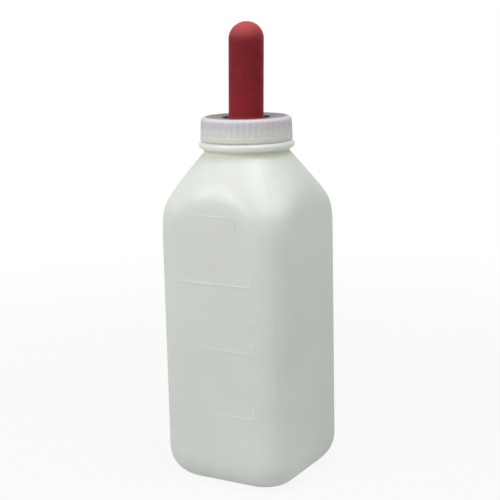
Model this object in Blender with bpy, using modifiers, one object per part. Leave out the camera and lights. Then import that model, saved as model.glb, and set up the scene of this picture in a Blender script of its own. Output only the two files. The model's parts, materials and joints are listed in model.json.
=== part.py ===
# Livestock nursing bottle: a square blow-moulded bottle, a ribbed screw cap and a rubber teat.
# Metres, +Z up. The origin is under the middle of the base, and the -Y side carries the filling scale.

import math

import bmesh
import bpy

# Bottle body
BODY_WIDTH = 0.105  # across two opposite flat sides
BODY_CORNER = 0.0244  # plan radius of the four upright corners
WALL = 0.0016  # blow-moulded wall, the same all over
BASE_FILLET = 0.0191  # plan width of the rounding from the sides down to the base
BASE_RISE = 0.0225  # and its height
BASE_CORNER = 0.0129  # plan radius at the corners of the flat base
FOOT_WIDTH = 0.007  # flat rim that the bottle stands on
RECESS_HEIGHT = 0.004  # how far the middle of the base is pushed up
RECESS_SLOPE = 0.005  # plan width of the slope between the foot and the recess
RECESS_CORNER = 0.0105  # plan radius of the recess's corners

# Shoulder and neck
SHOULDER_TOP = 0.2423  # height at which the shoulder's cone meets the groove
SHOULDER_ANGLE = math.radians(40.3)  # of the cone, measured from the vertical
SHOULDER_BLEND = 17.0  # power of the blend between cone and square body; a higher one is tighter
GROOVE_RADIUS = 0.0312  # waist below the bead
GROOVE_WIDTH = 0.0010
BEAD_RADIUS = 0.0349  # to the crest of the bead round the neck
BEAD_ROUND = 0.0027  # radius of the bead's half-round section
BEAD_DROP = 0.0014  # height of the slope from the groove up to the bead
NECK_RADIUS = 0.03005  # plain wall of the neck, at the root of the thread
NECK_HEIGHT = 0.0123  # from the top of the bead to the sealing lip
NECK_STEP = 0.0004  # height of the slope from the bead in to the neck

# Screw cap
THREAD_ROOM = 0.00165  # radial room that the thread takes between neck and cap
CAP_WALL = 0.0014
CAP_PANEL = 0.00195  # thickness of the top panel at its rim
CAP_DRAFT = 0.0007  # radius that the cap loses from its bottom edge to its top
CAP_ROUND = 0.00285  # radius of the top edge
CAP_LIFT = 0.0014  # gap left between the bead and the cap's bottom edge when it is screwed down
CAP_HOLE = 0.0178  # radius of the hole that the teat comes through
CAP_DISH = 0.0006  # how far the panel falls from its rim to the hole
CAP_BAND = 0.0026  # plain band above the bottom edge
CAP_FOOT = 0.0009  # bevel of the outer bottom edge
RIB_COUNT = 48
RIB_HEIGHT = 0.0005
RIB_WIDTH = 0.0013
RIB_SHY = 0.00005  # how far the ribs stay below the faces of the band and the rim
RIB_PHASE = 0.25  # place of the first rib after +X, in rib spacings
CHAMFER = 0.0004  # small edges of the cap's hole and bore

# Teat
TEAT_RADIUS = 0.0127
TEAT_LENGTH = 0.07245  # from the underside of the flange to the tip
TEAT_DOME = 0.0122  # height of the rounded tip
TEAT_WALL = 0.0028
TEAT_TIP_WALL = 0.004
TEAT_ROOT = 0.003  # fillet between shaft and flange
FLANGE_THICKNESS = 0.0026
FLANGE_ROUND = 0.0006
MOUTH_CHAMFER = 0.0015  # lead-in at the open end of the bore
SLIT_LENGTH = 0.006  # each arm of the cross-cut, tip to tip
SLIT_WIDTH = 0.0004
SLIT_CUTTER = 3 * TEAT_TIP_WALL  # height of the blades that cut it, half of it above the tip

# Clearances
SEAT_GAP = 0.0003  # between pieces that touch
FLANGE_FIT = 0.0004  # radial, between the flange and the inside of the cap

# Facets
FLAT_STEPS = 6  # round the bottle, on each flat side
CORNER_STEPS = 10  # and on each rounded corner
CAP_SIDES = 2 * RIB_COUNT
TEAT_SIDES = 48
BASE_STEPS = 6
FILLET_STEPS = 5
SHOULDER_STEPS = 12
BEAD_STEPS = 6
DOME_STEPS = 7
BLEND_FROM = 1.3  # the blend starts where the cone is this many times as wide as the body's corners
BLEND_TO = 0.8  # and has faded out where the cone is this share of the body's half width
SHARP_ANGLE = math.radians(35)  # edges that turn more are shown sharp
MERGE_DISTANCE = 0.00001  # joins the start and the end of a turned form

# Heights that follow
HALF_WIDTH = BODY_WIDTH / 2
BEAD_HEIGHT = SHOULDER_TOP + GROOVE_WIDTH + BEAD_DROP + BEAD_ROUND
BEAD_TOP = BEAD_HEIGHT + BEAD_ROUND
LIP_HEIGHT = BEAD_TOP + NECK_HEIGHT

# Cap sizes that follow, with heights above its own bottom edge
CAP_BORE = NECK_RADIUS + THREAD_ROOM
CAP_DEPTH = NECK_HEIGHT - CAP_LIFT + 2 * SEAT_GAP + FLANGE_THICKNESS
CAP_HEIGHT = CAP_DEPTH + CAP_PANEL
CAP_CREST = CAP_BORE + CAP_WALL + RIB_HEIGHT
FLANGE_RADIUS = CAP_BORE - CAP_DRAFT - FLANGE_FIT

MILKY_PLASTIC = (0.66, 0.70, 0.64, 1.0)
MILKY_ROUGHNESS = 0.42
WHITE_PLASTIC = (0.74, 0.72, 0.74, 1.0)
WHITE_ROUGHNESS = 0.38
RED_RUBBER = (0.27, 0.022, 0.028, 1.0)
RED_ROUGHNESS = 0.55


def clear_scene():
    for thing in list(bpy.data.objects):
        bpy.data.objects.remove(thing, do_unlink=True)


def new_collection(name):
    collection = bpy.data.collections.new(name)
    bpy.context.scene.collection.children.link(collection)
    return collection


def new_material(name, colour, roughness):
    material = bpy.data.materials.new(name)
    material.use_nodes = True
    shader = material.node_tree.nodes["Principled BSDF"]
    shader.inputs["Base Color"].default_value = colour
    shader.inputs["Roughness"].default_value = roughness
    shader.inputs["Metallic"].default_value = 0.0
    material.diffuse_color = colour
    return material


def new_object(name, mesh, collection, material=None):
    thing = bpy.data.objects.new(name, mesh)
    collection.objects.link(thing)
    if material is not None:
        mesh.materials.append(material)
        mesh.shade_smooth()
        mesh.set_sharp_from_angle(angle=SHARP_ANGLE)
    return thing


def arc(centre, radii, start, end, steps):
    """Points (radius, height) along part of an ellipse, both ends included, angles in degrees."""
    points = []
    for step in range(steps + 1):
        angle = math.radians(start + (end - start) * step / steps)
        points.append((centre[0] + radii[0] * math.cos(angle), centre[1] + radii[1] * math.sin(angle)))
    return points


def rounded_square(half, corner):
    """Points round a square with rounded corners, in the same order whatever its size."""
    inset = half - corner
    flat_turn = math.atan((HALF_WIDTH - BODY_CORNER) / HALF_WIDTH)
    quarter = []
    for step in range(FLAT_STEPS):
        turn = flat_turn * (2 * step / FLAT_STEPS - 1)
        quarter.append((half, inset * math.tan(turn) / math.tan(flat_turn)))
    for step in range(CORNER_STEPS):
        turn = math.pi / 2 * step / CORNER_STEPS
        quarter.append((inset + corner * math.cos(turn), inset + corner * math.sin(turn)))
    points = []
    for side in range(4):
        points += quarter
        quarter = [(-y, x) for x, y in quarter]
    return points


def square_ring(height, half, corner):
    return [(x, y, height) for x, y in rounded_square(half, corner)]


def round_ring(height, radius):
    ring = []
    for x, y in rounded_square(HALF_WIDTH, BODY_CORNER):
        scale = radius / math.hypot(x, y)
        ring.append((x * scale, y * scale, height))
    return ring


def shoulder_ring(height):
    """The smaller of cone and square body in each direction, with a soft blend where they meet."""
    cone = GROOVE_RADIUS + (SHOULDER_TOP - height) * math.tan(SHOULDER_ANGLE)
    ring = []
    for x, y in rounded_square(HALF_WIDTH, BODY_CORNER):
        square = math.hypot(x, y)
        blend = (square**-SHOULDER_BLEND + cone**-SHOULDER_BLEND) ** (-1 / SHOULDER_BLEND)
        ring.append((x * blend / square, y * blend / square, height))
    return ring


def cone_height(radius):
    return SHOULDER_TOP - (radius - GROOVE_RADIUS) / math.tan(SHOULDER_ANGLE)


def base_rings():
    """From the edge of the recess out over the foot and up the fillet to the straight sides."""
    foot = HALF_WIDTH - BASE_FILLET
    recess = foot - FOOT_WIDTH
    rings = [
        square_ring(RECESS_HEIGHT, recess - RECESS_SLOPE, RECESS_CORNER),
        square_ring(0, recess, RECESS_CORNER),
    ]
    for step in range(BASE_STEPS + 1):
        angle = math.pi / 2 * step / BASE_STEPS
        out = BASE_FILLET * math.sin(angle)
        up = BASE_RISE * (1 - math.cos(angle))
        corner = BASE_CORNER + (BODY_CORNER - BASE_CORNER) * math.sin(angle)
        rings.append(square_ring(up, foot + out, corner))
    return rings


def shoulder_rings():
    corner_reach = (HALF_WIDTH - BODY_CORNER) * math.sqrt(2) + BODY_CORNER
    low = cone_height(corner_reach * BLEND_FROM)
    high = cone_height(HALF_WIDTH * BLEND_TO)
    rings = [square_ring(low, HALF_WIDTH, BODY_CORNER)]
    for step in range(1, SHOULDER_STEPS + 1):
        rings.append(shoulder_ring(low + (high - low) * step / SHOULDER_STEPS))
    return rings


def neck_rings():
    rings = [round_ring(SHOULDER_TOP, GROOVE_RADIUS), round_ring(SHOULDER_TOP + GROOVE_WIDTH, GROOVE_RADIUS)]
    bead_centre = (BEAD_RADIUS - BEAD_ROUND, BEAD_HEIGHT)
    for radius, height in arc(bead_centre, (BEAD_ROUND, BEAD_ROUND), -90, 90, BEAD_STEPS):
        rings.append(round_ring(height, radius))
    rings.append(round_ring(BEAD_TOP + NECK_STEP, NECK_RADIUS))
    rings.append(round_ring(LIP_HEIGHT, NECK_RADIUS))
    return rings


def loft(name, rings):
    """An open surface through the rings, closed by a fan in the middle of the first one."""
    mesh = bmesh.new()
    rows = [[mesh.verts.new(point) for point in ring] for ring in rings]
    middle = mesh.verts.new((0, 0, rings[0][0][2]))
    sides = len(rings[0])
    for side in range(sides):
        following = (side + 1) % sides
        mesh.faces.new((middle, rows[0][following], rows[0][side]))
        for lower, upper in zip(rows, rows[1:]):
            mesh.faces.new((lower[side], lower[following], upper[following], upper[side]))
    data = bpy.data.meshes.new(name)
    mesh.to_mesh(data)
    mesh.free()
    return data


def turned(name, profile, sides, collection, material, closed):
    """A profile of (radius, height) points, turned round Z."""
    mesh = bpy.data.meshes.new(name)
    edges = [(i, i + 1) for i in range(len(profile) - 1)]
    if closed:
        edges.append((len(profile) - 1, 0))
    mesh.from_pydata([(radius, 0, height) for radius, height in profile], edges, [])
    thing = new_object(name, mesh, collection, material)
    screw = thing.modifiers.new("Turn", "SCREW")
    screw.axis = "Z"
    screw.angle = 2 * math.pi
    screw.steps = sides
    screw.render_steps = sides
    screw.use_merge_vertices = True
    screw.merge_threshold = MERGE_DISTANCE
    screw.use_smooth_shade = True
    return thing


def cut_or_join(thing, other, operation):
    boolean = thing.modifiers.new(other.name, "BOOLEAN")
    boolean.operation = operation
    boolean.solver = "EXACT"
    boolean.object = other


def as_helper(thing):
    thing.hide_render = True
    thing.display_type = "WIRE"


def make_bottle(collection):
    rings = base_rings() + shoulder_rings() + neck_rings()
    mesh = loft("bottle", rings)
    material = new_material("milky_plastic", MILKY_PLASTIC, MILKY_ROUGHNESS)
    bottle = new_object("bottle", mesh, collection, material)
    shell = bottle.modifiers.new("Wall", "SOLIDIFY")
    shell.thickness = WALL
    shell.offset = -1
    shell.use_even_offset = True
    shell.use_rim = True
    return bottle


def cap_crest(height):
    """Outer radius of the cap's ribs and band at a height above its bottom edge."""
    return CAP_CREST - CAP_DRAFT * height / CAP_HEIGHT


def cap_bore(height):
    return CAP_BORE - CAP_DRAFT * height / CAP_HEIGHT


def cap_profile():
    """From the hole over the top, down the skirt, round the bottom edge and back up inside."""
    hole_edge = CAP_HEIGHT - CAP_DISH
    grip_top = CAP_HEIGHT - CAP_ROUND
    round_centre = (cap_crest(CAP_HEIGHT) - CAP_ROUND, grip_top)
    under_grip = grip_top - RIB_HEIGHT
    over_band = CAP_BAND + RIB_HEIGHT
    profile = [(CAP_HOLE, hole_edge - CHAMFER), (CAP_HOLE + CHAMFER, hole_edge)]
    profile += arc(round_centre, (CAP_ROUND, CAP_ROUND), 90, 0, FILLET_STEPS)
    profile += [
        (cap_crest(under_grip) - RIB_HEIGHT, under_grip),
        (cap_crest(over_band) - RIB_HEIGHT, over_band),
        (cap_crest(CAP_BAND), CAP_BAND),
        (cap_crest(CAP_FOOT), CAP_FOOT),
        (CAP_CREST - CAP_FOOT, 0),
        (CAP_BORE, 0),
        (cap_bore(CAP_DEPTH - CHAMFER), CAP_DEPTH - CHAMFER),
        (cap_bore(CAP_DEPTH) - CHAMFER, CAP_DEPTH),
        (CAP_HOLE, CAP_DEPTH),
    ]
    return profile


def add_rib(mesh, angle):
    """One upright bar on the skirt, sunk into it and into the band and rim at its ends."""
    low = CAP_BAND
    high = CAP_HEIGHT - CAP_ROUND
    corners = []
    for height in (low, high):
        crest = cap_crest(height) - RIB_SHY
        for radius in (crest - RIB_HEIGHT - CAP_WALL / 2, crest):
            for across in (-RIB_WIDTH / 2, RIB_WIDTH / 2):
                x = radius * math.cos(angle) - across * math.sin(angle)
                y = radius * math.sin(angle) + across * math.cos(angle)
                corners.append(mesh.verts.new((x, y, height)))
    for face in ((0, 1, 3, 2), (4, 6, 7, 5), (2, 3, 7, 6), (0, 4, 5, 1), (0, 2, 6, 4), (1, 5, 7, 3)):
        mesh.faces.new([corners[i] for i in face])


def make_ribs(collection):
    mesh = bmesh.new()
    for rib in range(RIB_COUNT):
        add_rib(mesh, 2 * math.pi * (rib + RIB_PHASE) / RIB_COUNT)
    bmesh.ops.recalc_face_normals(mesh, faces=mesh.faces)
    data = bpy.data.meshes.new("cap_ribs")
    mesh.to_mesh(data)
    mesh.free()
    ribs = new_object("cap_ribs", data, collection)
    as_helper(ribs)
    return ribs


def make_cap(collection, helpers):
    material = new_material("white_plastic", WHITE_PLASTIC, WHITE_ROUGHNESS)
    cap = turned("screw_cap", cap_profile(), CAP_SIDES, collection, material, closed=True)
    ribs = make_ribs(helpers)
    ribs.parent = cap
    cut_or_join(cap, ribs, "UNION")
    return cap


def teat_profile():
    """From the tip down the outside, round the flange and back up the bore."""
    bore = TEAT_RADIUS - TEAT_WALL
    shoulder = TEAT_LENGTH - TEAT_DOME
    root_centre = (TEAT_RADIUS + TEAT_ROOT, FLANGE_THICKNESS + TEAT_ROOT)
    rim = FLANGE_RADIUS - FLANGE_ROUND
    inner_radii = (bore, TEAT_DOME - TEAT_TIP_WALL)
    profile = arc((0, shoulder), (TEAT_RADIUS, TEAT_DOME), 90, 0, DOME_STEPS)
    profile += arc(root_centre, (TEAT_ROOT, TEAT_ROOT), 180, 270, FILLET_STEPS)
    profile += [
        (rim, FLANGE_THICKNESS),
        (FLANGE_RADIUS, FLANGE_THICKNESS - FLANGE_ROUND),
        (FLANGE_RADIUS, FLANGE_ROUND),
        (rim, 0),
        (bore + MOUTH_CHAMFER, 0),
        (bore, MOUTH_CHAMFER),
    ]
    profile += arc((0, shoulder), inner_radii, 0, 90, DOME_STEPS)
    return profile


def make_slit(name, collection, turn):
    bpy.ops.mesh.primitive_cube_add(size=1)
    slit = bpy.context.object
    slit.name = name
    for home in list(slit.users_collection):
        home.objects.unlink(slit)
    collection.objects.link(slit)
    slit.scale = (SLIT_LENGTH, SLIT_WIDTH, SLIT_CUTTER)
    slit.location.z = TEAT_LENGTH
    slit.rotation_euler.z = turn
    as_helper(slit)
    return slit


def make_teat(collection, helpers):
    material = new_material("red_rubber", RED_RUBBER, RED_ROUGHNESS)
    teat = turned("nipple", teat_profile(), TEAT_SIDES, collection, material, closed=False)
    for name, turn in (("slit_a", math.pi / 4), ("slit_b", -math.pi / 4)):
        slit = make_slit(name, helpers, turn)
        slit.parent = teat
        cut_or_join(teat, slit, "DIFFERENCE")
    return teat


def make_axis(collection):
    """The screw axis, at the height of the bottle's lip."""
    axis = bpy.data.objects.new("screw_axis", None)
    axis.empty_display_size = NECK_RADIUS
    axis.location.z = LIP_HEIGHT
    collection.objects.link(axis)
    return axis


def main():
    clear_scene()
    parts = new_collection("nursing_bottle")
    helpers = new_collection("cutters")
    bottle = make_bottle(parts)
    axis = make_axis(parts)
    axis.parent = bottle
    teat = make_teat(parts, helpers)
    teat.parent = axis
    teat.location.z = SEAT_GAP
    cap = make_cap(parts, helpers)
    cap.parent = axis
    cap.location.z = CAP_LIFT - NECK_HEIGHT


main()
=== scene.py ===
# The looks of a calf's nursing bottle: a milky square bottle, a ribbed screw cap and a red rubber
# teat. Metres, +Z up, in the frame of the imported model. The -Y side carries the filling scale.

import json
import math

import bpy
import numpy as np
from mathutils import Matrix, Vector

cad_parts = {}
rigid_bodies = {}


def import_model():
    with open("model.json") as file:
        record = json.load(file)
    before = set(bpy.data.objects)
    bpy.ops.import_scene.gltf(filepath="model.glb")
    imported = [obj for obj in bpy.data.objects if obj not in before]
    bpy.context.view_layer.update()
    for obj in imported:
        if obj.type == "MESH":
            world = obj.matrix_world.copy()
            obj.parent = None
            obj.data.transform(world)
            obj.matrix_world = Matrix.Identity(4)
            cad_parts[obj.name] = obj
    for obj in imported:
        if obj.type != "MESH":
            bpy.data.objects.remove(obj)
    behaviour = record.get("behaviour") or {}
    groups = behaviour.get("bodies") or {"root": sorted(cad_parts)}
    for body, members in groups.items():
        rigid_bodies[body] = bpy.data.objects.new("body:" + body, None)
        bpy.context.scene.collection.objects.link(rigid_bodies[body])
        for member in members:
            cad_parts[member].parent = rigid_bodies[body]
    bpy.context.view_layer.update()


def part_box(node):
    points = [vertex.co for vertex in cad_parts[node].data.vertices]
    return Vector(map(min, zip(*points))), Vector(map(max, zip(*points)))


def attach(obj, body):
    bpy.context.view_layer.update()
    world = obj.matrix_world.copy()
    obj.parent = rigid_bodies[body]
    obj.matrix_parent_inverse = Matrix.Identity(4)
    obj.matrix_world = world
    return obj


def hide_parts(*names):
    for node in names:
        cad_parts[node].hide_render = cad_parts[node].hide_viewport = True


for thing in list(bpy.data.objects):
    bpy.data.objects.remove(thing, do_unlink=True)
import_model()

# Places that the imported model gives
HALF_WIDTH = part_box("bottle")[1].x
LIP_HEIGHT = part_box("bottle")[1].z
CAP_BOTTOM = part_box("screw_cap")[0].z
CAP_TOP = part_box("screw_cap")[1].z
TEAT_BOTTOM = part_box("nipple")[0].z
TEAT_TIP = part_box("nipple")[1].z

# Bottle, with the sizes of the CAD body
BODY_CORNER = 0.0244
WALL = 0.0016
BASE_FILLET = 0.0191
BASE_RISE = 0.0225
BASE_CORNER = 0.0129
FOOT_WIDTH = 0.007
RECESS_HEIGHT = 0.004
RECESS_SLOPE = 0.005
RECESS_CORNER = 0.0105
SHOULDER_TOP = 0.2423
SHOULDER_ANGLE = math.radians(40.3)
SHOULDER_BLEND = 17.0
SHOULDER_SOFTENING = 7.0  # of the blend, in the middle of each side
SOFTENING_POWER = 6  # the higher, the closer the softening keeps to the middle
SHOULDER_REACH = 0.085  # how far below the neck the body stops being straight
NECK_START = SHOULDER_TOP - 0.0015  # where the turned neck takes over from the square rows
CONE_FILLET = 0.0012
GROOVE_RADIUS = 0.0312
GROOVE_WIDTH = 0.0010
GROOVE_FILLET = 0.0008
BEAD_RADIUS = 0.0349
BEAD_ROUND = 0.0027
BEAD_DROP = 0.0014
BEAD_TURNS = (-78, 84)  # degrees, from the underside of its round to the top
BEAD_CENTRE = (BEAD_RADIUS - BEAD_ROUND, SHOULDER_TOP + GROOVE_WIDTH + BEAD_DROP + BEAD_ROUND)
BEAD_TOP = BEAD_CENTRE[1] + BEAD_ROUND
NECK_RADIUS = 0.03005
NECK_STEP = 0.0004
NECK_FILLET = 0.0005

# Screw thread, six turns an inch
THREAD_PITCH = 0.0254 / 6
THREAD_HEIGHT = 0.00095
THREAD_SHARE = 0.46  # of the pitch that a ridge takes
THREAD_START = 0.0010  # above the top of the bead
THREAD_END = 0.0012  # below the lip
THREAD_FADE = 0.0012  # rise over which a ridge runs out at its ends
CAP_THREAD_TURN = 0.5  # of a turn, so that the cap's ridge lies between the neck's

# Filling scale, raised on the -Y side: pints from the bottom up
MARK_STEP = 0.0482
MARK_FIRST = 0.0571
MARK_COUNT = 4
MARK_ENDS = (-0.0300, 0.0333)
MARK_TOP_ENDS = (-0.0170, 0.0190)
MARK_HEIGHT = 0.0003
MARK_STRENGTHS = ((0.05, 0.75), (0.3, 0.75), (0.75, 0.85), (0.5, 0.35))  # at left and right
MARK_HALF_WIDTH = 0.000825
MARK_CLEARANCE = 0.0011  # between a line and the nearest row that isn't its own
MARK_FADE = 0.0012
MARK_SIDE = -0.9 * HALF_WIDTH  # only what lies further towards -Y than this is marked
HALF_MARK_LENGTH = 0.0055
HALF_MARK_STRENGTH = 0.6
NUMBER_SIZE = 0.0082
DIGIT_HEIGHT = 0.72 * NUMBER_SIZE
NUMBER_RIGHT = 0.0325
NUMBER_GAP = 0.0012
NUMBER_RAISE = 0.0004
NUMBER_BEVEL = 0.0001
NUMBER_BEVEL_STEPS = 2
MERGE_DISTANCE = 1e-6

# Mould traces
PARTING_HEIGHT = 0.00012
PARTING_HALF_WIDTH = 0.0005
PARTING_END = 0.0125  # below the lip
WELD_HEIGHT = 0.0005
WELD_HALF_WIDTH = 0.0009
WELD_REACH = 0.030
WELD_FADE = 0.004
WELD_CEILING = RECESS_HEIGHT + 0.001  # the weld is only on what lies below this

# Cap
CAP_CREST = 0.0336
CAP_WALL = 0.0014
CAP_PANEL = 0.00195
CAP_DRAFT = 0.0007
CAP_LIFT = 0.0014
CAP_ROUND = 0.00285
CAP_FOOT_ROUND = 0.0008
CAP_FOOT_DROP = 0.0007  # the skirt hangs this much lower than the solid's
CAP_FOOT_INNER_ROUND = 0.0003
CAP_BORE_ROUND = 0.0004
CAP_HOLE = 0.0178
CAP_HOLE_ROUND = 0.0004
CAP_HOLE_UNDER_ROUND = 0.0002
CAP_DISH = 0.0006
CAP_DISH_ROUND = 0.012
CAP_BAND = 0.0026
RIB_COUNT = 48
RIB_HEIGHT = 0.00042
RIB_WIDTH = 0.0013
RIB_PHASE = 0.25  # of the ribs' spacing, from the +X axis to the first rib
RIB_FLANK = (0.02, 0.05)  # start inside a rib's edge and width, in shares of the ribs' spacing
RIB_RUN_OUT = 0.0012
OUTSIDE_MARGIN = 0.0008  # beyond the bore, where a point counts as outside
BORE_MARGIN = 0.0001

# Teat
TEAT_RADIUS = 0.0127
TEAT_DOME = 0.0122
TEAT_WALL = 0.0028
TEAT_TIP_WALL = 0.004
TEAT_ROOT = 0.003
TEAT_MOUTH_ROUND = 0.0015
FLANGE_TOP = TEAT_BOTTOM + 0.0026
FLANGE_RADIUS = 0.0306
FLANGE_ROUND = 0.0006
TEAT_LEAN = math.radians(1.33)  # the soft teat tips a little to the photograph's right
SLIT_LENGTH = 0.006
SLIT_WIDTH = 0.00016
SLIT_DEPTH = 3 * TEAT_TIP_WALL
SLIT_TURNS = (math.pi / 4, -math.pi / 4)

# Colours, some of them painted shade, light or highlights
MILK_THIN = (0.866, 0.901, 0.862, 1)
MILK_THICK = (0.893, 0.922, 0.890, 1)
MILK_RAISED = (0.93, 0.945, 0.925, 1)
# painted shade: yellower at the top of the shoulder and in the groove below the bead
MILK_GROOVE_SHADE = (0.885, 0.905, 0.80, 1)
MILK_WARM = (0.908, 0.888, 0.872, 1)
# whiter neck: the plastic is thicker there, and painted light lifts the bead and the shaded gap
# under the cap
MILK_NECK_THICK_AND_LIGHT = (0.965, 0.97, 0.955, 1)
CAP_SKIRT = (0.895, 0.895, 0.855, 1)
# lavender tint, and painted shade that darkens the cap towards its top
CAP_TOP_TINT_AND_SHADE = (0.815, 0.775, 0.83, 1)
# painted highlight: lighter over the cap's rounded rim and its top
CAP_RIM_HIGHLIGHT = (0.93, 0.89, 0.93, 1)
# painted shade on the panel over the teat's flange
CAP_SHADE_OVER_FLANGE = (0.402, 0.377, 0.387, 1)
# painted highlight on the crests of the ribs
CAP_CREST_HIGHLIGHT = (0.96, 0.95, 0.96, 1)
RUBBER_DEEP = (0.178, 0.0158, 0.0213, 1)
RUBBER_PALE = (0.224, 0.0222, 0.0287, 1)
# painted highlight: paler red over the dome of the teat
RUBBER_TIP_HIGHLIGHT = (0.43, 0.076, 0.077, 1)
# painted light: lighter, redder foot, as if lit by light bounced from the cap
RUBBER_FOOT_BOUNCE_LIGHT = (0.292, 0.0250, 0.0325, 1)
RUBBER_SHADED = (0.045, 0.004, 0.005, 1)
WHITE = (1, 1, 1, 1)

# Where one colour, painted shade or painted light runs into the next: heights, and radii for the
# cap's panel
GROOVE_SHADE_BAND = (SHOULDER_TOP - 0.006, SHOULDER_TOP)
NECK_THICK_AND_LIGHT_BAND = (SHOULDER_TOP + 0.002, SHOULDER_TOP + 0.0035)
CAP_TOP_TINT_AND_SHADE_BAND = (CAP_BOTTOM + 0.006, CAP_TOP - 0.005)
CAP_RIM_HIGHLIGHT_BAND = (CAP_TOP - 0.0035, CAP_TOP - 0.0015)
PANEL_SHADE_RADII = (0.0285, 0.0310)  # painted shade: the flange below greys the panel out to here
RUBBER_FOOT_BOUNCE_BAND = (CAP_TOP, CAP_TOP + 0.03)
RUBBER_SHADE_TINT = (CAP_TOP - 0.0012, CAP_TOP - 0.0004)
RUBBER_TIP_HIGHLIGHT_BAND = (TEAT_TIP - 1.3 * TEAT_DOME, TEAT_TIP - 0.002)

# Textures. A noise is its scale, detail and, where it isn't plain, roughness. A span is the part of
# a noise's range that is used, and a relief is a noise with its height in metres.
WIDE_SPAN = (0.3, 0.7)
NARROW_SPAN = (0.35, 0.65)
DIE_LINE_SQUEEZE = 0.04  # of the height, which draws a noise out into upright streaks
MILK_CLOUD = (14, 2)
NUMERAL_CLOUD = (90, 2)
STREAK = (60, 2)
STREAK_SPAN = (0.45, 0.7)
STREAK_SHARE = 0.32
BLOTCH = (35, 3, 0.6)
BLOTCH_SPAN = (0.5, 0.7)
BLOTCH_SHARE = 0.35
MILK_GLOSS = (60, 3)
MILK_WAVES = ((30, 1), 0.0004)
MILK_DIE_LINES = ((500, 3), 0.00003)
MILK_GRAIN = ((1400, 2), 0.00002)
CAP_GRAIN = ((1800, 2), 0.000015)
# how far the painted highlight lightens the rib crests
CREST_HIGHLIGHT_SHARE = 0.22
RUBBER_CLOUD = (70, 4, 0.6)
RUBBER_GLOSS = (120, 3)
RUBBER_WAVES = ((260, 2), 0.00006)
RUBBER_GRAIN = ((2400, 2), 0.00002)

# Gloss, and the share of light that goes on through a wall
MILK_SPECULAR = 0.8
MILK_ROUGHNESS = (0.32, 0.42)
CAP_SPECULAR = 0.5
CAP_ROUGHNESS = 0.42
RUBBER_SPECULAR = 0.06
RUBBER_ROUGHNESS = (0.44, 0.58)
MILK_THROUGH = 0.45
RAISED_THROUGH = 0.35
CAP_THROUGH = 0.42

# Camera
CAMERA_AZIMUTH = math.radians(29.77)
CAMERA_PITCH = math.radians(11.50)
CAMERA_ROLL = math.radians(-1.29)
CAMERA_TARGET = 0.1264
CAMERA_ELEVATION = math.radians(14.09)
CAMERA_DISTANCE = 0.9097
CAMERA_LENS = 87.49
CAMERA_SENSOR = 36
CAMERA_CLIP = 0.01
PLACE_AZIMUTH = math.radians(29.81)

# Studio
FLOOR_SIZE = 20.0
FLOOR_COLOUR = (0.6, 0.6, 0.6, 1)
FLOOR_WHITENING = 0.9
FLOOR_FADE = (0.25, 0.9)  # from the object's shadow out to pure white
WORLD_LIGHT = 0.38
LAMPS = (  # name, azimuth and elevation in degrees, distance and size in metres, watts
    ("key_box", -26, 35, 1.4, 0.7, 9),
    ("top_box", 75, 76, 1.4, 0.6, 7),
    ("side_box", 75, 50, 1.4, 0.5, 2.6),
)

# Facets
FILLET_STEPS = 6
CORNER_SHARE = 0.49  # of a straight piece, the most that one of its fillets takes
FLAT_STEPS = 16
CORNER_TURNS = (0, 4, 8, 12, 16, 20, 24, 28, 32, 35.5, 38.5, 40.5, 42, 43, 43.7, 44.2, 44.6)
CAP_COLUMNS = (-0.5, -0.35, -0.22, -0.18, -0.14, -0.07, 0, 0.07, 0.14, 0.18, 0.22, 0.35)
RECESS_ROWS = 10
FOOT_ROWS = (0.35, 0.7)  # shares of the foot's width
BASE_STEPS = 14
BODY_STEP = 0.008
SHOULDER_STEP = 0.002
MARK_ROWS = 9
BEAD_STEPS = 20
NECK_FACET = 0.0003
CAP_FACET = 0.00048
TEAT_FACET = 0.002
TEAT_SIDES = 96
DOME_STEPS = 24
DOME_INNER_STEPS = 12


def smooth_step(value):
    value = np.clip(value, 0.0, 1.0)
    return value * value * (3 - 2 * value)


def hump(distance, half_width):
    """1 on the line, falling smoothly to 0 at the half width."""
    return smooth_step(1 - np.abs(distance) / half_width)


def arc(centre, radii, start, end, steps):
    turns = np.radians(np.linspace(start, end, steps + 1))
    return [(centre[0] + radii[0] * math.cos(t), centre[1] + radii[1] * math.sin(t)) for t in turns]


def rounded(corners):
    """Points along a line of (radius, height, fillet) corners, each rounded by its fillet."""
    points = []
    for index, (x, y, fillet) in enumerate(corners):
        if fillet == 0 or index in (0, len(corners) - 1):
            points.append((x, y))
            continue
        here = Vector((x, y))
        back = Vector(corners[index - 1][:2]) - here
        ahead = Vector(corners[index + 1][:2]) - here
        half_turn = back.angle(ahead) / 2
        reach = min(fillet / math.tan(half_turn), CORNER_SHARE * min(back.length, ahead.length))
        fillet = reach * math.tan(half_turn)
        inward = (back.normalized() + ahead.normalized()).normalized()
        centre = here + inward * fillet / math.sin(half_turn)
        first = here + back.normalized() * reach - centre
        last = here + ahead.normalized() * reach - centre
        for step in range(FILLET_STEPS + 1):
            point = centre + first.slerp(last, step / FILLET_STEPS) * fillet
            points.append((point.x, point.y))
    return points


def with_steps(points, longest):
    """The same line with more points, no further apart than the longest step."""
    filled = [points[0]]
    for start, end in zip(points, points[1:]):
        count = max(1, math.ceil(math.dist(start, end) / longest))
        for step in range(1, count + 1):
            share = step / count
            filled.append(tuple(a + (b - a) * share for a, b in zip(start, end)))
    return filled


def link(name, data):
    thing = bpy.data.objects.new(name, data)
    bpy.context.scene.collection.objects.link(thing)
    return thing


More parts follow.
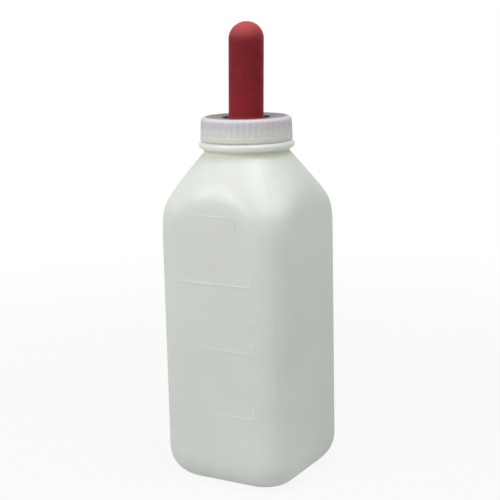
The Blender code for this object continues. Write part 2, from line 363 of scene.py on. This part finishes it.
def grid_object(name, rows, loop=False, first_pole=None, last_pole=None):
    """A mesh through rows of points. Each row closes on itself, and loop joins last to first."""
    rows = np.asarray(rows)
    count, sides = rows.shape[:2]
    points = rows.reshape(-1, 3).tolist()
    faces = []
    for row in range(count if loop else count - 1):
        low, high = row * sides, (row + 1) % count * sides
        for side in range(sides):
            following = (side + 1) % sides
            faces.append((low + side, low + following, high + following, high + side))
    if first_pole is not None:
        points.append(first_pole)
        faces += [(len(points) - 1, (side + 1) % sides, side) for side in range(sides)]
    if last_pole is not None:
        points.append(last_pole)
        last = (count - 1) * sides
        for side in range(sides):
            faces.append((len(points) - 1, last + side, last + (side + 1) % sides))
    mesh = bpy.data.meshes.new(name)
    mesh.from_pydata(points, [], faces)
    mesh.validate()
    mesh.shade_smooth()
    return link(name, mesh)


def as_mesh(thing):
    """The object's mesh with its modifiers applied."""
    bpy.context.view_layer.update()
    evaluated = thing.evaluated_get(bpy.context.evaluated_depsgraph_get())
    return bpy.data.meshes.new_from_object(evaluated)


def set_attribute(mesh, name, values):
    attribute = mesh.attributes.new(name, "FLOAT", "POINT")
    attribute.data.foreach_set("value", values.astype(np.float32))


def outline_columns():
    """Places round a quarter of the outline: shares along a flat side, then turns in a corner."""
    flat_turn = math.atan((HALF_WIDTH - BODY_CORNER) / HALF_WIDTH)
    flat_turns = flat_turn * (2 * np.arange(FLAT_STEPS) / FLAT_STEPS - 1)
    turns = [*CORNER_TURNS, 45, *[90 - turn for turn in CORNER_TURNS[:0:-1]]]
    return np.tan(flat_turns) / math.tan(flat_turn), np.radians(turns)


def rounded_square(half, corner):
    """Points round a square with rounded corners, in the same order whatever its size."""
    flats, turns = outline_columns()
    inset = half - corner
    side = np.stack([np.full(len(flats), half), inset * flats], 1)
    bend = np.stack([inset + corner * np.cos(turns), inset + corner * np.sin(turns)], 1)
    quarter = np.concatenate([side, bend])
    quarters = [quarter]
    for _ in range(3):
        quarter = np.stack([-quarter[:, 1], quarter[:, 0]], 1)
        quarters.append(quarter)
    return np.concatenate(quarters)


def at_height(ring, height):
    return np.column_stack([ring, np.full(len(ring), height)])


def thread_ridge(points, start, end, turn=0.0):
    """Share of the thread's height: a right-hand helix that runs out at both ends."""
    angle = np.arctan2(points[..., 1], points[..., 0]) / (2 * math.pi)
    height = points[..., 2]
    phase = (height - start) / THREAD_PITCH - angle - turn
    across = np.abs(phase - np.round(phase))
    ridge = smooth_step((THREAD_SHARE / 2 - across) / (THREAD_SHARE / 4))
    centre = height + (np.round(phase) - phase) * THREAD_PITCH
    ridge *= smooth_step((centre - start) / THREAD_FADE)
    return ridge * smooth_step((end - centre) / THREAD_FADE)


def mark_heights():
    return [MARK_FIRST + MARK_STEP * step for step in range(MARK_COUNT)]


def half_mark_heights():
    return [mark + MARK_STEP / 2 for mark in mark_heights()[:-1]]


def base_rows():
    """The pushed-up middle, the flat foot round it and the rounded edge up to the body."""
    foot = HALF_WIDTH - BASE_FILLET
    recess = foot - FOOT_WIDTH
    roof = recess - RECESS_SLOPE
    rows = []
    for share in np.linspace(1 / RECESS_ROWS, 1, RECESS_ROWS):
        ring = rounded_square(roof * share, RECESS_CORNER * share)
        rows.append(at_height(ring, RECESS_HEIGHT))
    for share in np.linspace(0, 1, RECESS_ROWS)[1:]:
        ring = rounded_square(roof + RECESS_SLOPE * share, RECESS_CORNER)
        rows.append(at_height(ring, RECESS_HEIGHT * (1 - smooth_step(share))))
    for share in FOOT_ROWS:
        corner = RECESS_CORNER + (BASE_CORNER - RECESS_CORNER) * share
        rows.append(at_height(rounded_square(recess + FOOT_WIDTH * share, corner), 0))
    for turn in np.radians(np.linspace(0, 90, BASE_STEPS + 1)):
        out = BASE_FILLET * math.sin(turn)
        up = BASE_RISE * (1 - math.cos(turn))
        corner = BASE_CORNER + (BODY_CORNER - BASE_CORNER) * math.sin(turn)
        rows.append(at_height(rounded_square(foot + out, corner), up))
    return rows


def body_heights():
    """Rows up the body and shoulder, close together where a line of the scale crosses."""
    straight_top = SHOULDER_TOP - SHOULDER_REACH
    heights = set(np.arange(BASE_RISE + BODY_STEP, straight_top, BODY_STEP).tolist())
    heights |= set(np.arange(straight_top, NECK_START, SHOULDER_STEP).tolist())
    spread = np.linspace(-MARK_HALF_WIDTH, MARK_HALF_WIDTH, MARK_ROWS)
    for mark in mark_heights() + half_mark_heights():
        heights = {height for height in heights if abs(height - mark) > MARK_CLEARANCE}
        heights |= set((mark + spread).tolist())
    return sorted(heights)


def cone_radius(height):
    return GROOVE_RADIUS + (SHOULDER_TOP - height) * math.tan(SHOULDER_ANGLE)


def shoulder_share(outline, heights):
    """What is left of the square's width where it runs into the shoulder's cone."""
    square = np.hypot(outline[:, 0], outline[:, 1])
    turn = np.arctan2(outline[:, 1], outline[:, 0])
    blend = SHOULDER_BLEND - SHOULDER_SOFTENING * np.cos(2 * turn) ** SOFTENING_POWER
    return (1 + (square / cone_radius(heights)) ** blend) ** (-1 / blend)


def body_rows():
    outline = rounded_square(HALF_WIDTH, BODY_CORNER)
    rows = []
    for height in body_heights():
        rows.append(at_height(outline * shoulder_share(outline, height)[:, None], height))
    return rows


def neck_rows():
    """The end of the shoulder, the groove, the bead and the threaded neck."""
    outline = rounded_square(HALF_WIDTH, BODY_CORNER)
    directions = outline / np.hypot(outline[:, 0], outline[:, 1])[:, None]
    bead_in, bead_height = BEAD_CENTRE
    profile = rounded([
        (cone_radius(NECK_START), NECK_START, 0),
        (GROOVE_RADIUS, SHOULDER_TOP, CONE_FILLET),
        (GROOVE_RADIUS, SHOULDER_TOP + GROOVE_WIDTH, GROOVE_FILLET),
        (bead_in, bead_height - BEAD_ROUND, 0),
    ])
    profile += arc(BEAD_CENTRE, (BEAD_ROUND, BEAD_ROUND), *BEAD_TURNS, BEAD_STEPS)
    profile += with_steps(rounded([
        (bead_in, BEAD_TOP, 0),
        (NECK_RADIUS, BEAD_TOP + NECK_STEP, NECK_FILLET),
        (NECK_RADIUS, LIP_HEIGHT, 0),
    ]), NECK_FACET)
    rows = np.array([at_height(directions * radius, height) for radius, height in profile])
    ridge = thread_ridge(rows, BEAD_TOP + THREAD_START, LIP_HEIGHT - THREAD_END)
    rows[..., :2] *= (1 + ridge * THREAD_HEIGHT / NECK_RADIUS)[..., None]
    return list(rows)


def scale_relief(points):
    """Height of the raised scale lines."""
    x, y, z = points.T
    lines = []
    for index, (mark, strengths) in enumerate(zip(mark_heights(), MARK_STRENGTHS)):
        ends = MARK_TOP_ENDS if index == MARK_COUNT - 1 else MARK_ENDS
        lines.append((mark, *ends, *strengths))
    for mark in half_mark_heights():
        left = MARK_ENDS[1] - HALF_MARK_LENGTH
        lines.append((mark, left, MARK_ENDS[1], HALF_MARK_STRENGTH, HALF_MARK_STRENGTH))
    relief = np.zeros(len(points))
    for mark, left, right, first, last in lines:
        clipped = smooth_step((x - left) / MARK_FADE) * smooth_step((right - x) / MARK_FADE)
        strength = first + (last - first) * smooth_step((x - left) / (right - left))
        relief += hump(z - mark, MARK_HALF_WIDTH) * clipped * strength
    return MARK_HEIGHT * relief * (y < MARK_SIDE)


def mould_relief(points):
    """The parting line over two opposite corners, and the pinched weld across the base."""
    x, y, z = points.T
    off_plane = (x + y) / math.sqrt(2)
    out = np.abs(x - y) / math.sqrt(2)
    line = PARTING_HEIGHT * hump(off_plane, PARTING_HALF_WIDTH) * (z < LIP_HEIGHT - PARTING_END)
    line *= smooth_step((z - PARTING_HEIGHT) / PARTING_HALF_WIDTH)  # the foot stays flat
    weld = WELD_HEIGHT * hump(off_plane, WELD_HALF_WIDTH)
    weld *= smooth_step((WELD_REACH - out) / WELD_FADE)
    return np.where((z < WELD_CEILING) & (out < WELD_REACH), weld, line)


def make_bottle():
    rows = base_rows() + body_rows() + neck_rows()
    bottle = grid_object("bottle_body", rows, first_pole=(0, 0, RECESS_HEIGHT))
    mesh = bottle.data
    points = np.array([vertex.co for vertex in mesh.vertices])
    normals = np.array([vertex.normal for vertex in mesh.vertices])
    marks = scale_relief(points)
    points += normals * (marks + mould_relief(points))[:, None]
    mesh.vertices.foreach_set("co", points.astype(np.float32).ravel())
    mesh.update()
    set_attribute(mesh, "raised", marks / MARK_HEIGHT)
    shell = bottle.modifiers.new("Wall", "SOLIDIFY")
    shell.thickness = WALL
    shell.offset = -1
    shell.use_even_offset = True
    return bottle


def make_number(text, right, bottom):
    """The mesh of a raised number on the flat of the -Y side, right-aligned."""
    curve = bpy.data.curves.new("number_" + text, "FONT")
    curve.body = text
    curve.size = NUMBER_SIZE
    curve.align_x = "RIGHT"
    curve.extrude = NUMBER_RAISE
    curve.bevel_depth = NUMBER_BEVEL
    curve.bevel_resolution = NUMBER_BEVEL_STEPS
    source = link("number_" + text, curve)
    place = Matrix.Translation((right, -HALF_WIDTH, bottom))
    source.matrix_world = place @ Matrix.Rotation(math.pi / 2, 4, "X")
    mesh = as_mesh(source)
    mesh.transform(source.matrix_world)
    bpy.data.objects.remove(source)
    return mesh


def make_numbers():
    """All the numbers in one mesh, bent over the side's rounded corner and its shoulder."""
    points, faces = [], []
    for index, mark in enumerate(mark_heights()):
        if index == MARK_COUNT - 1:
            right, bottom = MARK_TOP_ENDS[1], mark - NUMBER_GAP - DIGIT_HEIGHT
        else:
            right, bottom = NUMBER_RIGHT, mark + NUMBER_GAP
        mesh = make_number(str(index + 1), right, bottom)
        faces += [[len(points) + corner for corner in face.vertices] for face in mesh.polygons]
        points += [vertex.co[:] for vertex in mesh.vertices]
        bpy.data.meshes.remove(mesh)
    points = np.array(points)
    over = np.maximum(points[:, 0] - (HALF_WIDTH - BODY_CORNER), 0)
    points[:, 1] += BODY_CORNER - np.sqrt(BODY_CORNER**2 - over**2)
    points[:, 1] *= shoulder_share(points[:, :2], points[:, 2])
    joined = bpy.data.meshes.new("scale_numbers")
    joined.from_pydata(points.tolist(), [], faces)
    numbers = link("scale_numbers", joined)
    numbers.modifiers.new("Weld", "WELD").merge_threshold = MERGE_DISTANCE
    return numbers


def drafted(radius, height):
    """A radius of the cap's foot, drawn in by the draft at a height."""
    return radius - CAP_DRAFT * (height - CAP_BOTTOM) / (CAP_TOP - CAP_BOTTOM)


def make_cap():
    """A closed turned form, with the ribs cut into its outside and the thread raised inside."""
    bore = CAP_CREST - RIB_HEIGHT - CAP_WALL
    under = CAP_TOP - CAP_PANEL
    bore_top = drafted(bore, under)
    hole_top = CAP_TOP - CAP_DISH
    foot = CAP_BOTTOM - CAP_FOOT_DROP
    grip_low = CAP_BOTTOM + CAP_BAND
    grip_high = CAP_TOP - CAP_ROUND
    profile = rounded([
        (CAP_HOLE, (under + hole_top) / 2, 0),
        (CAP_HOLE, hole_top, CAP_HOLE_ROUND),
        (drafted(CAP_CREST, CAP_TOP) - 2 * CAP_ROUND, CAP_TOP, CAP_DISH_ROUND),
        (drafted(CAP_CREST, CAP_TOP), CAP_TOP, CAP_ROUND),
        (drafted(CAP_CREST, grip_low), grip_low, 0),
        (CAP_CREST, foot, CAP_FOOT_ROUND),
        (bore, foot, CAP_FOOT_INNER_ROUND),
        (bore_top, under, CAP_BORE_ROUND),
        (CAP_HOLE, under, CAP_HOLE_UNDER_ROUND),
        (CAP_HOLE, (under + hole_top) / 2, 0),
    ])[:-1]
    profile = np.array(with_steps(profile, CAP_FACET))
    radius, height = profile.T
    inner = np.arange(len(profile)) > np.argmin(height)
    outside = (radius > bore + OUTSIDE_MARGIN) & ~inner
    on_bore = inner & (radius > bore_top - BORE_MARGIN)

    places = np.tile(CAP_COLUMNS, RIB_COUNT)
    ribs = np.repeat(np.arange(RIB_COUNT), len(CAP_COLUMNS))
    angles = 2 * math.pi * (ribs + places + RIB_PHASE) / RIB_COUNT
    directions = np.stack([np.cos(angles), np.sin(angles)], 1)
    rows = np.array([at_height(directions * r, h) for r, h in profile])

    edge = RIB_WIDTH / 2 / (2 * math.pi * CAP_CREST / RIB_COUNT)
    valley = smooth_step((np.abs(places) - edge + RIB_FLANK[0]) / RIB_FLANK[1])
    gripped = smooth_step((height - grip_low) / RIB_HEIGHT) * outside
    gripped *= smooth_step((grip_high + RIB_RUN_OUT - height) / RIB_RUN_OUT)
    neck_start = CAP_BOTTOM - CAP_LIFT + THREAD_START
    ridge = thread_ridge(rows, neck_start, LIP_HEIGHT - THREAD_END, CAP_THREAD_TURN)
    ridge *= smooth_step((rows[..., 2] - CAP_BOTTOM - THREAD_START) / THREAD_FADE)
    cut = RIB_HEIGHT * np.outer(gripped, valley)
    radii = radius[:, None] - cut - THREAD_HEIGHT * ridge * on_bore[:, None]
    rows[..., :2] = directions * radii[..., None]
    cap = grid_object("cap_ring", rows[::-1], loop=True)
    set_attribute(cap.data, "crest", np.outer(gripped, 1 - valley)[::-1].ravel())
    return cap


def make_slit(tip, turn):
    """A thin upright blade that cuts one arm of the cross in the tip."""
    bpy.ops.mesh.primitive_cube_add(size=1)
    blade = bpy.context.object
    blade.name = "slit_blade"
    blade.scale = (SLIT_LENGTH, SLIT_WIDTH, SLIT_DEPTH)
    blade.location = tip
    blade.rotation_euler.z = turn
    return blade


def make_teat():
    bore = TEAT_RADIUS - TEAT_WALL
    shoulder = TEAT_TIP - TEAT_DOME
    profile = arc((0, shoulder), (TEAT_RADIUS, TEAT_DOME), 90, 0, DOME_STEPS)[1:]
    profile += with_steps(rounded([
        (TEAT_RADIUS, shoulder, 0),
        (TEAT_RADIUS, FLANGE_TOP, TEAT_ROOT),
        (FLANGE_RADIUS, FLANGE_TOP, FLANGE_ROUND),
        (FLANGE_RADIUS, TEAT_BOTTOM, FLANGE_ROUND),
        (bore, TEAT_BOTTOM, TEAT_MOUTH_ROUND),
        (bore, shoulder, 0),
    ]), TEAT_FACET)[1:]
    inner_radii = (bore, TEAT_DOME - TEAT_TIP_WALL)
    profile += arc((0, shoulder), inner_radii, 0, 90, DOME_INNER_STEPS)[1:-1]
    angles = 2 * math.pi * np.arange(TEAT_SIDES) / TEAT_SIDES
    directions = np.stack([np.cos(angles), np.sin(angles)], 1)
    rows = np.array([at_height(directions * radius, height) for radius, height in profile])
    inner_tip = (0, 0, TEAT_TIP - TEAT_TIP_WALL)
    teat = grid_object("teat", rows[::-1], first_pole=inner_tip, last_pole=(0, 0, TEAT_TIP))

    lean = Vector((math.cos(PLACE_AZIMUTH), math.sin(PLACE_AZIMUTH), 0)) * math.tan(TEAT_LEAN)
    for vertex in teat.data.vertices:
        run = max(vertex.co.z - FLANGE_TOP, 0)
        vertex.co += lean * run * run / (run + TEAT_ROOT)
    tip = Vector((0, 0, TEAT_TIP)) + lean * (TEAT_TIP - FLANGE_TOP)
    for turn in SLIT_TURNS:
        cut = teat.modifiers.new("Slit", "BOOLEAN")
        cut.operation = "DIFFERENCE"
        cut.solver = "EXACT"
        cut.object = make_slit(tip, turn)
    mesh = as_mesh(teat)
    for cut in list(teat.modifiers):
        bpy.data.objects.remove(cut.object)
        teat.modifiers.remove(cut)
    teat.data = mesh
    return teat


def node(tree, kind, inputs=None, **settings):
    """A new shader node. An input that is a socket is linked, and any other is set."""
    made = tree.nodes.new(kind)
    for key, value in settings.items():
        setattr(made, key, value)
    for key, value in (inputs or {}).items():
        if isinstance(value, bpy.types.NodeSocket):
            tree.links.new(value, made.inputs[key])
        else:
            made.inputs[key].default_value = value
    return made


def mixed(tree, factor, first, second):
    """A colour between two others, which may be sockets or plain colours."""
    inputs = {0: factor, 6: first, 7: second}  # the node's sockets for colours, as is output 2
    return node(tree, "ShaderNodeMix", inputs, data_type="RGBA").outputs[2]


def ramp(tree, value, low, high, start=0.0, end=1.0):
    """The value, taken from the range low to high into start to end."""
    inputs = {"Value": value, "From Min": low, "From Max": high, "To Min": start, "To Max": end}
    made = node(tree, "ShaderNodeMapRange", inputs, interpolation_type="SMOOTHSTEP")
    return made.outputs["Result"]


def new_material(name, specular):
    material = bpy.data.materials.new(name)
    material.use_nodes = True
    tree = material.node_tree
    shader = tree.nodes["Principled BSDF"]
    shader.inputs["Specular IOR Level"].default_value = specular
    place = node(tree, "ShaderNodeTexCoord").outputs["Object"]
    return material, tree, shader, place


def noise(tree, place, scale, detail, roughness=0.5):
    inputs = {"Vector": place, "Scale": scale, "Detail": detail, "Roughness": roughness}
    return node(tree, "ShaderNodeTexNoise", inputs).outputs["Fac"]


def height_of(tree, place):
    return node(tree, "ShaderNodeSeparateXYZ", {"Vector": place}).outputs["Z"]


def stored(tree, name):
    """A value that the mesh keeps for each of its points."""
    return node(tree, "ShaderNodeAttribute", attribute_name=name).outputs["Fac"]


def scaled(tree, place, factors):
    inputs = {0: place, 1: factors}
    return node(tree, "ShaderNodeVectorMath", inputs, operation="MULTIPLY").outputs["Vector"]


def stretched(tree, place):
    """Coordinates in which a noise makes upright streaks, as a die leaves them in the plastic."""
    return scaled(tree, place, (1, 1, DIE_LINE_SQUEEZE))


def set_colour(tree, shader, colour):
    tree.links.new(colour, shader.inputs["Base Color"])


def set_gloss(tree, shader, place, settings, roughness):
    """Roughness that a noise varies between two values."""
    gloss = ramp(tree, noise(tree, place, *settings), *WIDE_SPAN, *roughness)
    tree.links.new(gloss, shader.inputs["Roughness"])


def set_bump(tree, shader, *layers):
    """Stacks bumps on the shader's normal, each from coordinates and a relief."""
    normal = None
    for place, (settings, height) in layers:
        inputs = {"Height": noise(tree, place, *settings), "Distance": height, "Strength": 1.0}
        if normal is not None:
            inputs["Normal"] = normal
        normal = node(tree, "ShaderNodeBump", inputs).outputs["Normal"]
    tree.links.new(normal, shader.inputs["Normal"])


def let_light_through(tree, shader, colour, share):
    """A share of the light that meets each face of the wall goes on into it."""
    through = node(tree, "ShaderNodeBsdfTranslucent", {"Color": colour}).outputs[0]
    inputs = {0: share, 1: shader.outputs[0], 2: through}
    surface = node(tree, "ShaderNodeMixShader", inputs).outputs[0]
    tree.links.new(surface, tree.nodes["Material Output"].inputs["Surface"])


def milky_surface(tree, shader, place, colour, share):
    """The light, gloss and fine texture that all the milky plastic has."""
    set_colour(tree, shader, colour)
    let_light_through(tree, shader, colour, share)
    set_gloss(tree, shader, place, MILK_GLOSS, MILK_ROUGHNESS)
    drawn = stretched(tree, place)
    set_bump(tree, shader, (place, MILK_WAVES), (drawn, MILK_DIE_LINES), (place, MILK_GRAIN))


def milky_plastic():
    """Thin milky plastic. What stands raised is thicker: whiter, and it lets less light through."""
    material, tree, shader, place = new_material("milky_plastic", MILK_SPECULAR)
    cloud = ramp(tree, noise(tree, place, *MILK_CLOUD), *NARROW_SPAN)
    colour = mixed(tree, cloud, MILK_THIN, MILK_THICK)
    streak = noise(tree, stretched(tree, place), *STREAK)
    colour = mixed(tree, ramp(tree, streak, *STREAK_SPAN, 0, STREAK_SHARE), colour, MILK_WARM)
    blotch = noise(tree, place, *BLOTCH)
    colour = mixed(tree, ramp(tree, blotch, *BLOTCH_SPAN, 0, BLOTCH_SHARE), colour, MILK_WARM)
    raised = stored(tree, "raised")
    colour = mixed(tree, raised, colour, MILK_RAISED)
    height = height_of(tree, place)
    # painted shade: yellower at the top of the shoulder and in the groove below the bead
    inputs = {0: ramp(tree, height, *GROOVE_SHADE_BAND), 1: ramp(tree, height, *NECK_THICK_AND_LIGHT_BAND, 1, 0)}
    groove = node(tree, "ShaderNodeMath", inputs, operation="MULTIPLY").outputs[0]
    colour = mixed(tree, groove, colour, MILK_GROOVE_SHADE)
    # whiter neck: thicker plastic, and painted light over the bead and the shaded gap under the cap
    colour = mixed(tree, ramp(tree, height, *NECK_THICK_AND_LIGHT_BAND), colour, MILK_NECK_THICK_AND_LIGHT)
    through = ramp(tree, raised, 0, 1, MILK_THROUGH, RAISED_THROUGH)
    milky_surface(tree, shader, place, colour, through)
    return material


def milky_numerals():
    material, tree, shader, place = new_material("milky_numerals", MILK_SPECULAR)
    cloud = ramp(tree, noise(tree, place, *NUMERAL_CLOUD), *NARROW_SPAN)
    colour = mixed(tree, cloud, MILK_RAISED, MILK_THICK)
    milky_surface(tree, shader, place, colour, RAISED_THROUGH)
    return material


def cap_plastic():
    material, tree, shader, place = new_material("cap_plastic", CAP_SPECULAR)
    shader.inputs["Roughness"].default_value = CAP_ROUGHNESS
    height = height_of(tree, place)
    # lavender tint and painted shade towards the top of the cap
    colour = mixed(tree, ramp(tree, height, *CAP_TOP_TINT_AND_SHADE_BAND), CAP_SKIRT, CAP_TOP_TINT_AND_SHADE)
    # painted highlight over the rounded rim and the top
    colour = mixed(tree, ramp(tree, height, *CAP_RIM_HIGHLIGHT_BAND), colour, CAP_RIM_HIGHLIGHT)
    flat = scaled(tree, place, (1, 1, 0))
    radius = node(tree, "ShaderNodeVectorMath", {0: flat}, operation="LENGTH").outputs["Value"]
    # painted shade on the panel over the flange
    colour = mixed(tree, ramp(tree, radius, *PANEL_SHADE_RADII, 1, 0), colour, CAP_SHADE_OVER_FLANGE)
    # painted highlight on the rib crests
    crest = ramp(tree, stored(tree, "crest"), 0, 1, 0, CREST_HIGHLIGHT_SHARE)
    colour = mixed(tree, crest, colour, CAP_CREST_HIGHLIGHT)
    set_colour(tree, shader, colour)
    let_light_through(tree, shader, colour, CAP_THROUGH)
    set_bump(tree, shader, (place, CAP_GRAIN))
    return material


def red_rubber():
    material, tree, shader, place = new_material("red_rubber", RUBBER_SPECULAR)
    cloud = ramp(tree, noise(tree, place, *RUBBER_CLOUD), *WIDE_SPAN)
    colour = mixed(tree, cloud, RUBBER_DEEP, RUBBER_PALE)
    height = height_of(tree, place)
    # painted light bounced from the cap onto the foot of the teat
    colour = mixed(tree, ramp(tree, height, *RUBBER_FOOT_BOUNCE_BAND, 1, 0), colour, RUBBER_FOOT_BOUNCE_LIGHT)
    colour = mixed(tree, ramp(tree, height, *RUBBER_SHADE_TINT, 1, 0), colour, RUBBER_SHADED)
    # painted highlight on the dome
    colour = mixed(tree, ramp(tree, height, *RUBBER_TIP_HIGHLIGHT_BAND), colour, RUBBER_TIP_HIGHLIGHT)
    set_colour(tree, shader, colour)
    set_gloss(tree, shader, place, RUBBER_GLOSS, RUBBER_ROUGHNESS)
    set_bump(tree, shader, (place, RUBBER_WAVES), (place, RUBBER_GRAIN))
    return material


def seen_directly(tree):
    """1 for rays from the camera or from a mirror or glass, 0 for those that only light things."""
    path = node(tree, "ShaderNodeLightPath")
    seen = path.outputs["Is Camera Ray"]
    for name in ("Is Glossy Ray", "Is Transmission Ray"):
        inputs = {0: seen, 1: path.outputs[name]}
        seen = node(tree, "ShaderNodeMath", inputs, operation="MAXIMUM").outputs[0]
    return seen


def make_floor():
    """A plane that is white to look at and pale to the light, and keeps the object's shadow."""
    bpy.ops.mesh.primitive_plane_add(size=FLOOR_SIZE)
    floor = bpy.context.object
    floor.name = "floor"
    material = bpy.data.materials.new("floor_white")
    material.use_nodes = True
    tree = material.node_tree
    tree.nodes.remove(tree.nodes["Principled BSDF"])
    matte = node(tree, "ShaderNodeBsdfDiffuse", {"Color": FLOOR_COLOUR}).outputs[0]
    white = node(tree, "ShaderNodeEmission", {"Color": WHITE, "Strength": 1.0}).outputs[0]
    place = node(tree, "ShaderNodeTexCoord").outputs["Object"]
    reach = node(tree, "ShaderNodeVectorMath", {0: place}, operation="LENGTH").outputs["Value"]
    inputs = {0: seen_directly(tree), 1: ramp(tree, reach, *FLOOR_FADE, FLOOR_WHITENING, 1)}
    share = node(tree, "ShaderNodeMath", inputs, operation="MULTIPLY").outputs[0]
    surface = node(tree, "ShaderNodeMixShader", {0: share, 1: matte, 2: white}).outputs[0]
    tree.links.new(surface, tree.nodes["Material Output"].inputs["Surface"])
    floor.data.materials.append(material)


def make_world():
    world = bpy.data.worlds.new("studio")
    bpy.context.scene.world = world
    world.use_nodes = True
    tree = world.node_tree
    tree.nodes.remove(tree.nodes["Background"])
    light = node(tree, "ShaderNodeBackground", {"Color": WHITE, "Strength": WORLD_LIGHT}).outputs[0]
    white = node(tree, "ShaderNodeBackground", {"Color": WHITE, "Strength": 1.0}).outputs[0]
    inputs = {0: seen_directly(tree), 1: light, 2: white}
    surface = node(tree, "ShaderNodeMixShader", inputs).outputs[0]
    tree.links.new(surface, tree.nodes["World Output"].inputs["Surface"])


def make_lamp(name, azimuth, elevation, distance, size, power):
    """A square soft box that faces the object's middle. Azimuth is measured as the camera's is."""
    lamp = bpy.data.lights.new(name, "AREA")
    lamp.size = size
    lamp.energy = power
    box = link(name, lamp)
    around, up = math.radians(azimuth), math.radians(elevation)
    level = Vector((math.sin(around), -math.cos(around), 0)) * math.cos(up)
    back = level + Vector((0, 0, math.sin(up)))
    box.location = Vector((0, 0, TEAT_TIP / 2)) + back * distance
    box.rotation_mode = "QUATERNION"
    box.rotation_quaternion = (-back).to_track_quat("-Z", "Y")


def make_camera():
    data = bpy.data.cameras.new("camera")
    data.lens = CAMERA_LENS
    data.sensor_width = CAMERA_SENSOR
    data.clip_start = CAMERA_CLIP
    camera = link("camera", data)
    ahead = Vector((-math.sin(CAMERA_AZIMUTH), math.cos(CAMERA_AZIMUTH), 0))
    level = Vector((math.cos(CAMERA_AZIMUTH), math.sin(CAMERA_AZIMUTH), 0))
    forward = ahead * math.cos(CAMERA_PITCH) - Vector((0, 0, math.sin(CAMERA_PITCH)))
    upward = level.cross(forward)
    right = level * math.cos(CAMERA_ROLL) + upward * math.sin(CAMERA_ROLL)
    top = upward * math.cos(CAMERA_ROLL) - level * math.sin(CAMERA_ROLL)
    turn = Matrix((right, top, -forward)).transposed().to_4x4()
    out = Vector((math.sin(PLACE_AZIMUTH), -math.cos(PLACE_AZIMUTH), 0))
    out = out * math.cos(CAMERA_ELEVATION) + Vector((0, 0, math.sin(CAMERA_ELEVATION)))
    place = Vector((0, 0, CAMERA_TARGET)) + out * CAMERA_DISTANCE
    camera.matrix_world = Matrix.Translation(place) @ turn
    bpy.context.scene.camera = camera


def dress(piece, body, slot, material, *stands_for):
    piece.data.materials.append(material)
    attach(piece, body)
    if stands_for:
        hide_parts(*stands_for)


dress(make_bottle(), "bottle", "bottle", milky_plastic(), "bottle")
dress(make_numbers(), "bottle", "bottle", milky_numerals())
dress(make_cap(), "screw_cap", "cap", cap_plastic(), "screw_cap")
dress(make_teat(), "nipple", "nipple", red_rubber(), "nipple")

make_floor()
make_world()
for lamp_row in LAMPS:
    make_lamp(*lamp_row)
make_camera()
bpy.context.scene.view_settings.view_transform = "Standard"
